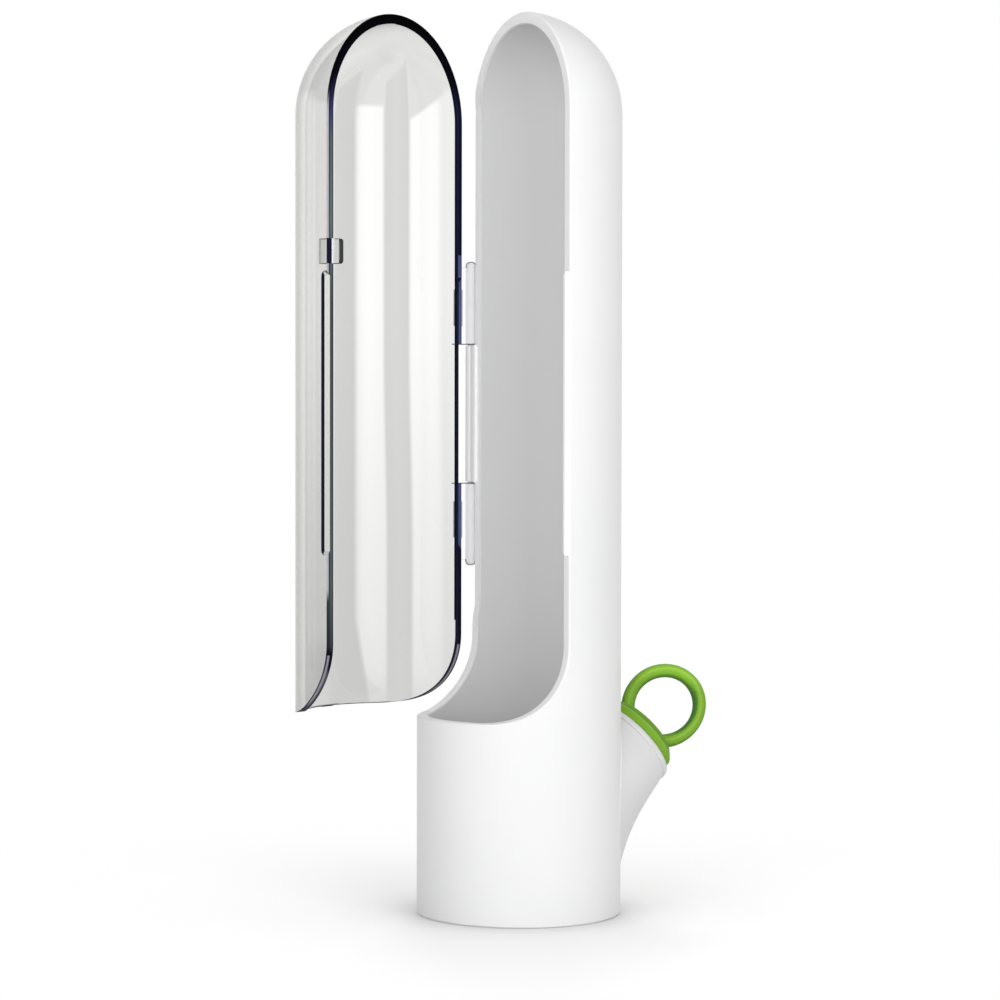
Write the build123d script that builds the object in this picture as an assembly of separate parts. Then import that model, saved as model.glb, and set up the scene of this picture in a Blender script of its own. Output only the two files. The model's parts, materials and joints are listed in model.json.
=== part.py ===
from build123d import *
import os
from math import cos, radians, sin, sqrt

# A tall round vegetable keeper, in millimetres. +Z is up and the origin is the centre of the
# face that it stands on. The open front looks along -Y, the door is hinged on the -X side and
# the filling spout leans out of the back, towards +Y. A white shell with a water cup at its
# foot, a clear door on a vertical rod, and a soft green plug in the spout. The door is built
# shut and then swung open to the angle at which it stands at rest.

# Driving sizes of the shell
body_radius = 32.0
total_height = 281.6
shell_wall = 3.8
lip_height = 62.1
corner_radius = 23.4
rim_round = 0.6
foot_round = 0.6

# Relief that sets the opening's edge back on the hinge side, from a height above the foot to a
# height over the dome's centre, with a slanted run at each end
relief_depth = 0.9
relief_bottom = 88.0
relief_over_dome = 10.9
relief_run = 5.5

# Base closure: a disc with a collar that carries the seal ring
base_thickness = 3.0
base_seat_step = 1.2
collar_height = 4.2
collar_wall = 2.3
collar_gap = 0.2
seal_section = 1.6
seal_squeeze_gap = 0.05
base_fit = 0.05

# Door: same outline as the shell's opening, with a seam all round
door_wall = 3.0
door_seam = 0.5
door_open_angle = 67.7
nub_width = 5.0
nub_height = 0.3
nub_length = 1.6

# Long notch in the outer half of the door's edges, and the shell's land that fills one
notch_bottom = 112.7
notch_top = 200.3
notch_width = 1.5
notch_depth = 2.4
notch_corner = 1.9
land_height = 1.6
land_corner = 1.0
land_gap = 0.3
land_setback = 0.2

# Hinge: a rod beside the shell, held in one post and turning in two clips on the door
rod_radius = 0.95
rod_stand_off = 2.8
rod_behind_edge = 1.0
rod_fit = 0.05
clip_running_fit = 0.07
sleeve_wall = 0.68
sleeve_cap = 1.1
sleeve_overhang = 5.2
clip_length = 21.5
clip_arm_above_notch = 3.3
clip_arm_thickness = 2.2
clip_seat_gap = 0.05
post_gap = 0.4
post_web = 1.8
rod_end_gap = 0.15

# Latch tongue inside the door's free edge
tongue_bottom = 202.5
tongue_height = 7.7
tongue_thickness = 1.5
tongue_reach = 1.7
tongue_root = 5.0
tongue_shell_gap = 0.4
tongue_corner = 1.0

# Spout, along an axis that climbs out of the back, with its mouth's centre behind the body's wall
spout_climb = 40.2
mouth_behind_wall = 9.15
mouth_height = 52.5
mouth_radius = 15.65
mouth_length = 2.2
mouth_round = 1.4
mouth_foot_round = 0.25
bore_radius = 11.9
bore_length = 7.0
spout_wall = 2.6
neck_radius = 15.35
cone_depth = 12.0
cone_radius = 17.2
flare_depth = 36.0
flare_radius = 26.5

# Plug
stem_gap = 0.6
stem_length = 6.0
rib_gap = 0.15
rib_width = 1.0
rib_depths = (1.4, 3.9)
flange_radius = 14.0
flange_top_radius = 11.7
flange_straight = 2.5
flange_height = 5.0
flange_gap = 0.1
flange_round = 0.7
ring_centre = 15.65
ring_long = 12.35
ring_short = 11.15
ring_band = 4.4
ring_thickness = 4.2
ring_round = 1.6
ring_turn = 27.9

# Shares of a round that a rounding or a joining arm takes up
end_round_share = 0.8
arm_join_wide = 0.8
arm_join_narrow = 0.5
rib_round_share = 0.35
seal_round_share = 0.25

# How far a cutting shape runs past the faces that it cuts
overshoot = 1.0

# Values worked out from the driving sizes
dome_centre = total_height - body_radius
relief_top = dome_centre + relief_over_dome
mouth_back = body_radius + mouth_behind_wall
cavity_radius = body_radius - shell_wall
door_inner_radius = body_radius - door_wall
notch_floor_radius = body_radius - notch_width
hinge_x = -(body_radius + rod_stand_off)
hinge_y = rod_behind_edge
sleeve_bore = rod_radius + clip_running_fit
sleeve_radius = sleeve_bore + sleeve_wall
clip_middle = (notch_bottom + notch_top) / 2
upper_clip_bottom = notch_top - clip_length
sleeve_top = notch_top + sleeve_overhang
beyond = 2 * body_radius
spout_frame = Plane(
    origin=(0, mouth_back, mouth_height),
    x_dir=(1, 0, 0),
    z_dir=(0, cos(radians(spout_climb)), sin(radians(spout_climb))),
)
hinge_axis = Axis((hinge_x, hinge_y, 0), (0, 0, 1))


def upright(radius, bottom, top, x=0.0, y=0.0):
    """A vertical cylinder between two heights."""
    return Pos(x, y, bottom) * Cylinder(radius, top - bottom, align=(Align.CENTER, Align.CENTER, Align.MIN))


def block(x0, x1, y0, y1, z0, z1):
    """A box between two corners."""
    size = Box(x1 - x0, y1 - y0, z1 - z0)
    return Pos((x0 + x1) / 2, (y0 + y1) / 2, (z0 + z1) / 2) * size


def capsule(radius, bottom):
    """A round column with a domed top, from the given height up."""
    return upright(radius, bottom, dome_centre) + Pos(0, 0, dome_centre) * Sphere(radius)


def side_prism(points, x0, x1):
    """An outline drawn in Y and Z, pushed along X from x0 to x1."""
    outline = Plane.YZ * make_face(Polyline(*points, close=True))
    return Pos(x0, 0, 0) * extrude(outline, x1 - x0)


def door_region(seam):
    """Everything in front of the shell's opening, drawn back from it by the seam all round."""
    centre_y = -corner_radius
    centre_z = lip_height + corner_radius
    arc_radius = corner_radius - seam
    lip = lip_height + seam
    outline = Curve() + [
        Line((-beyond, lip), (centre_y, lip)),
        CenterArc((centre_y, centre_z), arc_radius, -90, 90),
        Line((-seam, centre_z), (-seam, total_height + beyond)),
        Line((-seam, total_height + beyond), (-beyond, total_height + beyond)),
        Line((-beyond, total_height + beyond), (-beyond, lip)),
    ]
    return extrude(Plane.YZ * make_face(outline), beyond, both=True)


def hinge_relief():
    """What the relief takes off the opening's edge on the hinge side."""
    outline = [
        (-overshoot, relief_bottom),
        (0, relief_bottom),
        (relief_depth, relief_bottom + relief_run),
        (relief_depth, relief_top - relief_run),
        (0, relief_top),
        (-overshoot, relief_top),
    ]
    return side_prism(outline, -beyond, -body_radius / 2)


def relief_edges(solid):
    """The two long upright edges that the relief leaves."""
    least = dome_centre - relief_bottom - 2 * relief_run
    long_ones = [edge for edge in solid.edges().filter_by(Axis.Z) if edge.length > least]
    return [edge for edge in long_ones if edge.center().X < 0 and abs(edge.center().Y - relief_depth) < 0.01]


def on_opening(point):
    """True where a point lies on the surface that cuts the shell's opening."""
    near = 0.01
    if point.Y > near or point.Z < lip_height - near:
        return False
    from_centre = Vector(0, point.Y + corner_radius, point.Z - lip_height - corner_radius).length
    in_corner = point.Y > -corner_radius and point.Z < lip_height + corner_radius
    if in_corner:
        return abs(from_centre - corner_radius) < near
    return abs(point.Y) < near or abs(point.Z - lip_height) < near


def from_spine(point):
    """Distance from the shell's upright centre line, or from the dome's centre above it."""
    return Vector(point.X, point.Y, max(point.Z - dome_centre, 0)).length


def rim_edges(solid):
    """The edges that run round the shell's opening, without the short seams across its wall."""
    along = (0.0, 0.25, 0.5, 0.75, 1.0)
    on_rim = [edge for edge in solid.edges() if all(on_opening(edge.position_at(step)) for step in along)]
    middle = body_radius - shell_wall / 2
    return [edge for edge in on_rim if abs(from_spine(edge.position_at(0.5)) - middle) > shell_wall / 4]


def notch_shape(side, inset=0.0):
    """The space of the long notch in one edge of the door, or what fits in it with a gap of inset."""
    low = notch_bottom + inset
    high = notch_top - inset
    floor = -door_seam - notch_depth + inset
    far_x = body_radius + notch_width
    prism = block(-far_x, far_x, floor, overshoot, low, high)
    floor_corners = prism.edges().filter_by(Axis.X).group_by(Axis.Y)[0]
    prism = fillet(floor_corners, notch_corner - inset)
    inner = notch_floor_radius + inset
    slant = inset * sqrt(2)
    outline = Polyline(
        (0, notch_bottom - overshoot),
        (body_radius, notch_bottom - overshoot),
        (body_radius, notch_bottom + slant),
        (inner, notch_bottom + slant + body_radius - inner),
        (inner, notch_top - slant - body_radius + inner),
        (body_radius, notch_top - slant),
        (body_radius, notch_top + overshoot),
        (0, notch_top + overshoot),
        close=True,
    )
    core = revolve(Plane.XZ * make_face(outline), Axis.Z)
    return (prism - core) & block(min(0, side * far_x), max(0, side * far_x), floor, overshoot, low, high)


def spout_solid(top, neck, neck_depth, cone_end, flare_end):
    """The spout's round body or its passage, turned about its own axis in its own frame."""
    outline = Curve() + [
        Line((0, top), (neck, top)),
        Line((neck, top), (neck, -neck_depth)),
        Line((neck, -neck_depth), (cone_end, -cone_depth)),
        TangentArc(
            (cone_end, -cone_depth),
            (flare_end, -flare_depth),
            tangent=(cone_radius - neck_radius, mouth_length - cone_depth),
        ),
        Line((flare_end, -flare_depth), (0, -flare_depth)),
        Line((0, -flare_depth), (0, top)),
    ]
    return revolve(Plane.XZ * make_face(outline), Axis.Z)


def make_body_shell():
    """Half tube, dome, cup and spout in one moulding, with the hinge post and the edge's land."""
    mouth = upright(mouth_radius, -mouth_length, 0)
    mouth = fillet(mouth.edges().filter_by(GeomType.CIRCLE).group_by(Axis.Z)[-1], mouth_round)
    mouth = fillet(mouth.edges().filter_by(GeomType.CIRCLE).group_by(Axis.Z)[0], mouth_foot_round)
    spout = spout_solid(-mouth_round, neck_radius, mouth_length, cone_radius, flare_radius) + mouth
    solid = capsule(body_radius, 0) + spout_frame.location * spout
    solid = fillet(solid.edges().filter_by(GeomType.CIRCLE).group_by(Axis.Z)[0], foot_round)

    solid -= capsule(cavity_radius, base_thickness)
    solid -= upright(cavity_radius + base_seat_step, -overshoot, base_thickness)
    cone_bore = cone_radius - spout_wall
    flare_bore = flare_radius - spout_wall
    passage = spout_solid(overshoot, bore_radius, bore_length, cone_bore, flare_bore)
    solid -= spout_frame.location * passage
    solid -= door_region(0)
    solid = fillet(rim_edges(solid), rim_round)
    solid -= hinge_relief()
    solid = fillet(relief_edges(solid), rim_round)

    land_foot = notch_bottom + land_gap
    land_head = notch_top - land_gap
    land = block(0, body_radius, -land_height, overshoot, land_foot, land_head)
    land = fillet(land.edges().filter_by(Axis.X).group_by(Axis.Y)[0], land_corner)
    land &= notch_shape(1, land_gap)
    land &= upright(body_radius - land_setback, land_foot, land_head)

    post_bottom = notch_bottom + clip_length + post_gap
    post_top = upper_clip_bottom - post_gap
    post = upright(sleeve_radius, post_bottom, post_top, hinge_x, hinge_y)
    web_front = hinge_y - post_web / 2
    web_back = hinge_y + post_web / 2
    post += block(hinge_x, -notch_floor_radius, web_front, web_back, post_bottom, post_top)
    solid = solid + land + post
    bore = upright(rod_radius + rod_fit, post_bottom - overshoot, post_top + overshoot, hinge_x, hinge_y)
    return solid - bore


def make_base_plate():
    """The disc that closes the cup, with a collar grooved for the seal ring."""
    collar_radius = cavity_radius - collar_gap
    collar_top = base_thickness + collar_height
    plate = upright(cavity_radius + base_seat_step - base_fit, 0, base_thickness)
    plate += upright(collar_radius, base_thickness, collar_top)
    plate -= upright(collar_radius - collar_wall, base_thickness, collar_top + overshoot)
    groove_low = base_thickness + (collar_height - seal_section) / 2 - base_fit
    groove_high = groove_low + seal_section + 2 * base_fit
    groove = upright(body_radius, groove_low, groove_high)
    groove -= upright(seal_inner_radius() - base_fit, groove_low, groove_high)
    return plate - groove


def seal_inner_radius():
    """Inner radius of the seal ring, from the wall that it presses on."""
    return cavity_radius - seal_squeeze_gap - seal_section


def make_base_seal():
    """The soft ring between the base plate's collar and the cup's wall."""
    bottom = base_thickness + (collar_height - seal_section) / 2
    ring = upright(cavity_radius - seal_squeeze_gap, bottom, bottom + seal_section)
    ring -= upright(seal_inner_radius(), bottom, bottom + seal_section)
    return fillet(ring.edges().filter_by(GeomType.CIRCLE), seal_section * seal_round_share)


def make_hinge_rod():
    """The rod, round at both ends, that the two clips turn on."""
    top = sleeve_top - sleeve_cap - rod_end_gap
    bottom = 2 * clip_middle - top
    rod = upright(rod_radius, bottom, top, hinge_x, hinge_y)
    return fillet(rod.edges().filter_by(GeomType.CIRCLE), rod_radius * end_round_share)


def make_door_shell():
    """The clear half tube with its dome, cut to the opening's outline."""
    shell = capsule(body_radius, 0) - capsule(door_inner_radius, -overshoot)
    shell &= door_region(door_seam)
    for side in (-1, 1):
        shell -= notch_shape(side)
    lip = lip_height + door_seam
    nub_y = -(door_inner_radius + door_wall / 2)
    nub_front = nub_y - nub_length / 2
    nub_back = nub_y + nub_length / 2
    nub_side = nub_width / 2
    return shell + block(-nub_side, nub_side, nub_front, nub_back, lip - nub_height, lip + overshoot)


def make_hinge_clip(mirrored):
    """A clear clip: a capped sleeve round the rod, an arm, and a foot that fills the notch's end."""
    sleeve = upright(sleeve_radius, upper_clip_bottom, sleeve_top, hinge_x, hinge_y)
    cap_edge = sleeve.edges().filter_by(GeomType.CIRCLE).group_by(Axis.Z)[-1]
    sleeve = fillet(cap_edge, sleeve_radius * end_round_share)
    arm_top = notch_top + clip_arm_above_notch
    arm_outer_y = -door_seam - clip_arm_thickness
    wide = sleeve_radius * arm_join_wide
    narrow = sleeve_radius * arm_join_narrow
    outline = [
        (hinge_x - narrow, hinge_y - wide),
        (hinge_x + rod_stand_off, arm_outer_y),
        (-notch_floor_radius, arm_outer_y),
        (-notch_floor_radius, -door_seam),
        (hinge_x + wide, -door_seam),
        (hinge_x + wide, hinge_y - narrow),
    ]
    arm_face = Pos(0, 0, upper_clip_bottom) * make_face(Polyline(*outline, close=True))
    arm = extrude(arm_face, arm_top - upper_clip_bottom)
    arm -= upright(body_radius + clip_seat_gap, upper_clip_bottom - overshoot, arm_top + overshoot)
    foot = notch_shape(-1) & block(-beyond, 0, -beyond, -door_seam, upper_clip_bottom, notch_top)
    foot &= upright(body_radius + 2 * clip_seat_gap, upper_clip_bottom, notch_top)
    clip = sleeve + arm + foot
    clip -= upright(sleeve_bore, upper_clip_bottom - overshoot, sleeve_top - sleeve_cap, hinge_x, hinge_y)
    if mirrored:
        return clip.mirror(Plane.XY.offset(clip_middle))
    return clip


def make_latch_tongue():
    """The clear tongue inside the free edge, which slips behind the shell's edge."""
    outer_x = cavity_radius - tongue_shell_gap
    inner_x = outer_x - tongue_thickness
    low = tongue_bottom
    high = tongue_bottom + tongue_height
    root_y = -door_seam - tongue_root
    tip_y = -door_seam + tongue_reach
    tongue = block(inner_x, outer_x, root_y, tip_y, low, high)
    tongue = fillet(tongue.edges().filter_by(Axis.X), tongue_corner)
    pad = block(inner_x, body_radius, root_y, -door_seam - tongue_shell_gap, low, high)
    pad = fillet(pad.edges().filter_by(Axis.X), tongue_shell_gap)
    pad &= upright(door_inner_radius, low, high)
    return tongue + pad


def make_fill_plug():
    """The soft plug: ribbed stem, flange and a pull ring, in one moulding."""
    stem_radius = bore_radius - stem_gap
    plug = upright(stem_radius, -stem_length, flange_gap + flange_straight)
    plug = fillet(plug.edges().filter_by(GeomType.CIRCLE).group_by(Axis.Z)[0], stem_gap)
    for depth in rib_depths:
        rib = upright(bore_radius - rib_gap, -depth - rib_width / 2, -depth + rib_width / 2)
        plug += fillet(rib.edges().filter_by(GeomType.CIRCLE), rib_width * rib_round_share)
    outline = Polyline(
        (0, flange_gap),
        (flange_radius, flange_gap),
        (flange_radius, flange_gap + flange_straight),
        (flange_top_radius, flange_height),
        (0, flange_height),
        close=True,
    )
    flange = revolve(Plane.XZ * make_face(outline), Axis.Z)
    flange = fillet(flange.edges().filter_by(GeomType.CIRCLE).group_by(Axis.Z)[1:], flange_round)
    plug += flange
    half_band = ring_band / 2
    ring_face = Ellipse(ring_short + half_band, ring_long + half_band)
    ring_face -= Ellipse(ring_short - half_band, ring_long - half_band)
    ring = extrude(ring_face, ring_thickness / 2, both=True)
    ring = fillet(ring.edges(), ring_round)
    stand = Pos(0, 0, ring_centre) * Rot(0, 0, 90 - ring_turn) * Rot(90, 0, 0)
    plug += stand * ring
    return spout_frame.location * plug


def swing_open(part):
    """Turns a piece of the door about the hinge, from shut to its angle at rest."""
    return part.rotate(hinge_axis, -door_open_angle)


def build():
    """Every piece in its place, by the name of its node."""
    return {
        "body_shell": make_body_shell(),
        "base_plate": make_base_plate(),
        "base_seal": make_base_seal(),
        "hinge_rod": make_hinge_rod(),
        "door_shell": swing_open(make_door_shell()),
        "hinge_clip_upper": swing_open(make_hinge_clip(False)),
        "hinge_clip_lower": swing_open(make_hinge_clip(True)),
        "latch_tongue": swing_open(make_latch_tongue()),
        "fill_plug": make_fill_plug(),
    }


os.makedirs("parts", exist_ok=True)
for node, piece in build().items():
    export_step(piece, f"parts/{node}.step")
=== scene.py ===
import json
import logging
import math
from dataclasses import dataclass
from enum import Enum

import bpy
from mathutils import Euler, Matrix, Vector


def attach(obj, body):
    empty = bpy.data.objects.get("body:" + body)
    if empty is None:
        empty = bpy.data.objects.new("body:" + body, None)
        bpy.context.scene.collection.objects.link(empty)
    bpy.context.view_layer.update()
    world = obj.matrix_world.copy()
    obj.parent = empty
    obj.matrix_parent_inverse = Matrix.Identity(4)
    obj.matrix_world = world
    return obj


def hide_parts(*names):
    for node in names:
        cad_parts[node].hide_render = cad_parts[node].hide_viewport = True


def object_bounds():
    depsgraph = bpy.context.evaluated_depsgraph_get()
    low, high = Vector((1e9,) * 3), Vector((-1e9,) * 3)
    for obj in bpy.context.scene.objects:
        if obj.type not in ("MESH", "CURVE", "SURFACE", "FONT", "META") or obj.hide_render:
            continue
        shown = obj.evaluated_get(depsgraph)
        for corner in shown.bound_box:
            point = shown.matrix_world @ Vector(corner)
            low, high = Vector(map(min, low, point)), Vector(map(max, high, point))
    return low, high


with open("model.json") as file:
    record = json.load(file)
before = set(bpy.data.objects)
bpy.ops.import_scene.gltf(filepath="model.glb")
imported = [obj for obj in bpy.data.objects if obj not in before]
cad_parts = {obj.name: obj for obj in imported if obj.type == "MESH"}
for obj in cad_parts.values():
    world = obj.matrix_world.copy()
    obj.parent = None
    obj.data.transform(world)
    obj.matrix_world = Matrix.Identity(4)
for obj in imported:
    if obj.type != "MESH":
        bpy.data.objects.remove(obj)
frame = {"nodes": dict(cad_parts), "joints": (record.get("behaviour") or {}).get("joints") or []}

# Dresses a tall round vegetable keeper: a white shell with a cup and a spout, a clear door that
# stands open on its rod, and a soft green plug. Metres, +Z up, the open front towards -Y.

logging.basicConfig(level=logging.INFO, format="%(name)s: %(message)s")
log = logging.getLogger("keeper")
cad_low, cad_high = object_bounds()

MM = 0.001

Colour = tuple[float, float, float]
Span = tuple[float, float]
Levels = tuple[Span, ...]
Shades = tuple[tuple[float, Colour], ...]
Stops = Levels | Shades


class Axis3(Enum):
    """The three parts of a place in space."""

    X = "X"
    Y = "Y"
    Z = "Z"


class Wire:
    """A number that runs through a node tree, on which Python's operators add Math nodes."""

    def __init__(self, graph: "Graph", socket: bpy.types.NodeSocket) -> None:
        """Holds one output of a node.

        Args:
            graph: The node tree that the socket is part of.
            socket: The output that carries the number.
        """
        self.graph = graph
        self.socket = socket

    def step(self, operation: str, *values: "Wire | float") -> "Wire":
        """Runs this number and others through one Math node.

        Args:
            operation: The Math node's operation.
            values: The node's other inputs, in order.

        Returns:
            The node's result.
        """
        inputs = dict(enumerate((self, *values)))
        node = self.graph.node("ShaderNodeMath", {"operation": operation}, inputs)
        return Wire(self.graph, node.outputs[0])

    def _reflected(self, operation: str, first: float) -> "Wire":
        """The same with a plain number in front of this one."""
        inputs = {0: first, 1: self}
        node = self.graph.node("ShaderNodeMath", {"operation": operation}, inputs)
        return Wire(self.graph, node.outputs[0])

    def __add__(self, other: "Wire | float") -> "Wire":
        """The sum."""
        return self.step("ADD", other)

    __radd__ = __add__

    def __sub__(self, other: "Wire | float") -> "Wire":
        """The difference."""
        return self.step("SUBTRACT", other)

    def __rsub__(self, other: float) -> "Wire":
        """A plain number less this one."""
        return self._reflected("SUBTRACT", other)

    def __mul__(self, other: "Wire | float") -> "Wire":
        """The product."""
        return self.step("MULTIPLY", other)

    __rmul__ = __mul__

    def __truediv__(self, other: "Wire | float") -> "Wire":
        """The quotient."""
        return self.step("DIVIDE", other)

    def __gt__(self, other: "Wire | float") -> "Wire":
        """1 where this number is the greater, and 0 elsewhere."""
        return self.step("GREATER_THAN", other)

    def __lt__(self, other: "Wire | float") -> "Wire":
        """1 where this number is the smaller, and 0 elsewhere."""
        return self.step("LESS_THAN", other)

    def high(self, other: "Wire | float") -> "Wire":
        """The greater of the two."""
        return self.step("MAXIMUM", other)

    def low(self, other: "Wire | float") -> "Wire":
        """The smaller of the two."""
        return self.step("MINIMUM", other)

    def between(self, start: float, end: float) -> "Wire":
        """Rises smoothly from 0 at start to 1 at end."""
        settings = {"interpolation_type": "SMOOTHSTEP"}
        inputs = {"Value": self, "From Min": start, "From Max": end}
        node = self.graph.node("ShaderNodeMapRange", settings, inputs)
        return Wire(self.graph, node.outputs["Result"])

    def within(self, low: "Wire | float", high: "Wire | float") -> "Wire":
        """1 between the two, and 0 elsewhere."""
        return (self > low) * (self < high)


def distance(*parts: Wire) -> Wire:
    """The length of a line, from how far it runs along each axis."""
    total = parts[0] * parts[0]
    for part in parts[1:]:
        total = total + part * part
    return total.step("SQRT")


class Graph:
    """A node tree, built node by node."""

    def __init__(self, tree: bpy.types.NodeTree) -> None:
        """Empties the tree.

        Args:
            tree: The tree that the nodes go into.
        """
        self.tree = tree
        self.tree.nodes.clear()

    def node(
        self,
        kind: str,
        settings: dict[str, object] | None = None,
        inputs: dict[str | int, object] | None = None,
    ) -> bpy.types.Node:
        """Adds a node, sets its options and then its inputs.

        Args:
            kind: The node's type.
            settings: Its options by name.
            inputs: Values, numbers or outputs, by the input's name or number, or a list of
                outputs that are joined there.

        Returns:
            The new node.
        """
        made = self.tree.nodes.new(kind)
        for name, value in (settings or {}).items():
            setattr(made, name, value)
        for key, value in (inputs or {}).items():
            for one in value if isinstance(value, list) else [value]:
                source = one.socket if isinstance(one, Wire) else one
                if isinstance(source, bpy.types.NodeSocket):
                    self.tree.links.new(source, made.inputs[key])
                else:
                    made.inputs[key].default_value = source
        return made

    def vector(
        self,
        x: Wire | float = 0.0,
        y: Wire | float = 0.0,
        z: Wire | float = 0.0,
    ) -> bpy.types.NodeSocket:
        """Three numbers as one vector."""
        return self.node("ShaderNodeCombineXYZ", inputs={"X": x, "Y": y, "Z": z}).outputs[0]


class Form(Graph):
    """A tree of geometry nodes with named sizes, which makes one plain mesh."""

    round_sides: int = 128
    soften_share: float = 0.5
    soften_steps: int = 24

    def __init__(self, name: str) -> None:
        """Starts an empty tree.

        Args:
            name: The name of the tree and of the piece that it makes.
        """
        super().__init__(bpy.data.node_groups.new(name, "GeometryNodeTree"))
        self.name = name
        self.values: dict[str, float] = {}
        self.tree.interface.new_socket("Mesh", in_out="OUTPUT", socket_type="NodeSocketGeometry")
        self.inlet = self.node("NodeGroupInput")

    def size(self, name: str, value: float) -> Wire:
        """Gives the tree a named size.

        Args:
            name: What the size is called.
            value: Its value: a whole number for a count, and metres otherwise.

        Returns:
            The size, for use in the tree.
        """
        kind = "NodeSocketInt" if isinstance(value, int) else "NodeSocketFloat"
        socket = self.tree.interface.new_socket(name, in_out="INPUT", socket_type=kind)
        self.values[socket.identifier] = value
        return Wire(self, self.inlet.outputs[name])

    def moved(
        self,
        shape: bpy.types.NodeSocket,
        by: bpy.types.NodeSocket | Colour = (0.0, 0.0, 0.0),
        turn: bpy.types.NodeSocket | Colour = (0.0, 0.0, 0.0),
        scale: bpy.types.NodeSocket | Colour = (1.0, 1.0, 1.0),
    ) -> bpy.types.NodeSocket:
        """A shape, scaled, then turned and then moved."""
        inputs = {"Geometry": shape, "Translation": by, "Rotation": turn, "Scale": scale}
        return self.node("GeometryNodeTransform", inputs=inputs).outputs[0]

    def round_piece(
        self,
        low: Wire,
        high: Wire,
        low_radius: Wire,
        high_radius: Wire,
    ) -> bpy.types.NodeSocket:
        """A solid of revolution with straight sides.

        Args:
            low: The height of its foot.
            high: The height of its top.
            low_radius: Its radius at the foot.
            high_radius: Its radius at the top.

        Returns:
            The solid.
        """
        inputs = {
            "Vertices": self.round_sides,
            "Radius Bottom": low_radius,
            "Radius Top": high_radius,
            "Depth": high - low,
        }
        cone = self.node("GeometryNodeMeshCone", inputs=inputs).outputs["Mesh"]
        return self.moved(cone, by=self.vector(z=low))

    def row(
        self,
        shape: bpy.types.NodeSocket,
        count: Wire | int,
        start: bpy.types.NodeSocket,
        step: bpy.types.NodeSocket,
    ) -> bpy.types.NodeSocket:
        """Copies of a shape at even steps.

        Args:
            shape: The shape that is copied.
            count: How many copies there are.
            start: The place of the first.
            step: The way from each copy to the next.

        Returns:
            The copies.
        """
        inputs = {"Count": count, "Start Location": start, "Offset": step}
        line = self.node("GeometryNodeMeshLine", inputs=inputs).outputs[0]
        inputs = {"Points": line, "Instance": shape}
        return self.node("GeometryNodeInstanceOnPoints", inputs=inputs).outputs[0]

    def piece(
        self,
        shape: bpy.types.NodeSocket,
        material: bpy.types.Material,
        grain: float,
    ) -> bpy.types.Object:
        """Melts overlapping solids into one closed skin with soft edges.

        Args:
            shape: The solids, joined.
            material: What they are made of.
            grain: The size of the skin's faces in metres.

        Returns:
            The piece, a plain mesh with its place in it.
        """
        real = self.node("GeometryNodeRealizeInstances", inputs={0: shape}).outputs[0]
        inputs = {"Geometry": real, "Material": material}
        painted = self.node("GeometryNodeSetMaterial", inputs=inputs).outputs[0]
        self.node("NodeGroupOutput", inputs={0: painted})
        made = bpy.data.objects.new(self.name, bpy.data.meshes.new(self.name))
        bpy.context.scene.collection.objects.link(made)
        form = made.modifiers.new("form", "NODES")
        form.node_group = self.tree
        for identifier, value in self.values.items():
            form[identifier] = value
        skin = made.modifiers.new("skin", "REMESH")
        skin.mode = "VOXEL"
        skin.voxel_size = grain
        skin.use_smooth_shade = True
        soften = made.modifiers.new("soften", "SMOOTH")
        soften.factor = self.soften_share
        soften.iterations = self.soften_steps
        state = bpy.context.evaluated_depsgraph_get()
        mesh = bpy.data.meshes.new_from_object(made.evaluated_get(state), depsgraph=state)
        made.modifiers.clear()
        made.data = mesh
        mesh.materials.clear()
        mesh.materials.append(material)
        return made


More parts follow.
